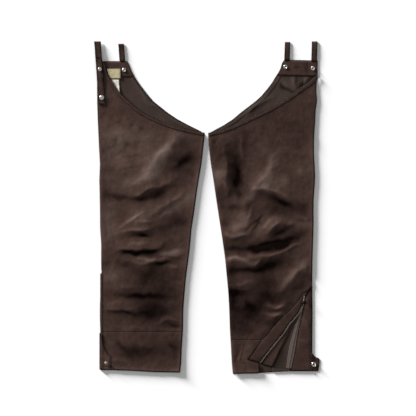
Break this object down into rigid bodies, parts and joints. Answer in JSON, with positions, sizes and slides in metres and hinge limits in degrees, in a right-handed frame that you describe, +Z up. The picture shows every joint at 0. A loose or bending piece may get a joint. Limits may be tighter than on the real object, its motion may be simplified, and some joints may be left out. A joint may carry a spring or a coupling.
{
  "type": "pair of hunting chaps",
  "caption": "Pair of full-length chap legs in dark oiled cotton, laid flat, with belt loops, snaps, hem bands and side zips, one zip open.",
  "frame": {"origin": "middle of the laid-out pair, on the surface it lies on", "axes": "+X across the legs to the right-hand leg as seen, +Y from the hems up to the waist, +Z up off the surface"},
  "size_m": [0.74, 1.09, 0.0121],
  "materials": {
    "oiled_cotton": "dark brown oiled cotton, dull waxy sheen",
    "oiled_cotton_inside": "inner face of the oiled cotton, matt",
    "woven_label": "khaki woven label, blank",
    "care_tag": "cream satin tape, blank",
    "zip_tape": "dark tape with metal teeth",
    "zip_metal": "antique dark metal",
    "nickel": "polished nickel plate",
    "dull_nickel": "worn nickel plate"
  },
  "bodies": {
    "chaps": {"left_front": "oiled_cotton", "right_front": "oiled_cotton", "left_front_top_band": "oiled_cotton", "right_front_top_band": "oiled_cotton", "left_hem_band": "oiled_cotton", "right_hem_band": "oiled_cotton", "left_waist_facing": "oiled_cotton", "right_waist_facing": "oiled_cotton", "left_storm_flap": "oiled_cotton", "right_storm_flap": "oiled_cotton", "left_snap_tab": "oiled_cotton", "right_snap_tab": "oiled_cotton", "right_placket": "oiled_cotton", "right_zip_guard": "oiled_cotton", "left_outer_loop": "oiled_cotton", "left_inner_loop": "oiled_cotton", "right_inner_loop": "oiled_cotton", "right_outer_loop": "oiled_cotton", "left_back": "oiled_cotton_inside", "right_back": "oiled_cotton_inside", "left_back_edge_facing": "oiled_cotton_inside", "right_back_edge_facing": "oiled_cotton_inside", "right_hem_turn_up": "oiled_cotton_inside", "left_woven_label": "woven_label", "left_care_tag": "care_tag", "left_zip": "zip_tape", "right_zip_front_half": "zip_tape", "right_zip_flap_half": "zip_tape", "left_zip_slider": "zip_metal", "right_zip_slider": "zip_metal", "left_hip_snap": "nickel", "left_strap_snap": "nickel", "left_waist_snap": "nickel", "right_inner_waist_snap": "nickel", "right_outer_waist_snap": "nickel", "right_tab_snap": "nickel", "left_tab_snap": "dull_nickel"},
    "pull_tab": {"right_zip_pull": "dull_nickel"}
  },
  "joints": [
    {"name": "pull_tab_swing", "type": "hinge", "parent": "chaps", "child": "pull_tab", "pos_m": [0.317, -0.305, 0.007], "axis": [0.9863, -0.165, 0], "range_deg": [0, 180]}
  ]
}
